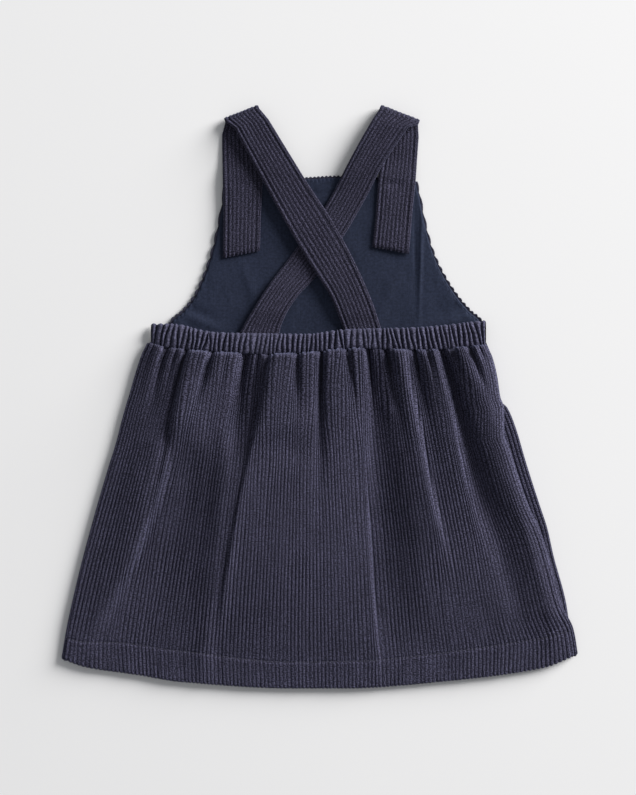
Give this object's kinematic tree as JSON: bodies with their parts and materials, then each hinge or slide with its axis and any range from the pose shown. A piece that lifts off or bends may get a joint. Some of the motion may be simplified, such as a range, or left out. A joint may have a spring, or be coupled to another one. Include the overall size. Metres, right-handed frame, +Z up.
{
  "type": "pinafore dress",
  "caption": "Small child's pinafore dress in navy wide-wale corduroy, laid flat with its back up: lined bib, crossed straps, elastic back waistband, gathered skirt.",
  "frame": {"origin": "on the surface the dress lies on, under the middle of its outline", "axes": "+Z up from the surface; +Y from the hem to the shoulders; +X to the right as the dress is seen from above, back up"},
  "size_m": [0.439, 0.4956, 0.0121],
  "materials": {
    "bib_corduroy": "wide-wale cotton corduroy, navy",
    "bib_lining_cotton": "plain-weave cotton, dark navy",
    "skirt_corduroy": "wide-wale cotton corduroy, navy, soft pile",
    "strap_corduroy": "wide-wale cotton corduroy, navy, pressed tube",
    "waistband_corduroy": "wide-wale cotton corduroy, navy, shirred over elastic"
  },
  "bodies": {
    "root": {"bib_front": "bib_corduroy", "bib_lining": "bib_lining_cotton", "skirt_back": "skirt_corduroy", "skirt_front": "skirt_corduroy", "strap_left": "strap_corduroy", "strap_right": "strap_corduroy", "waistband_back": "waistband_corduroy"}
  },
  "joints": []
}
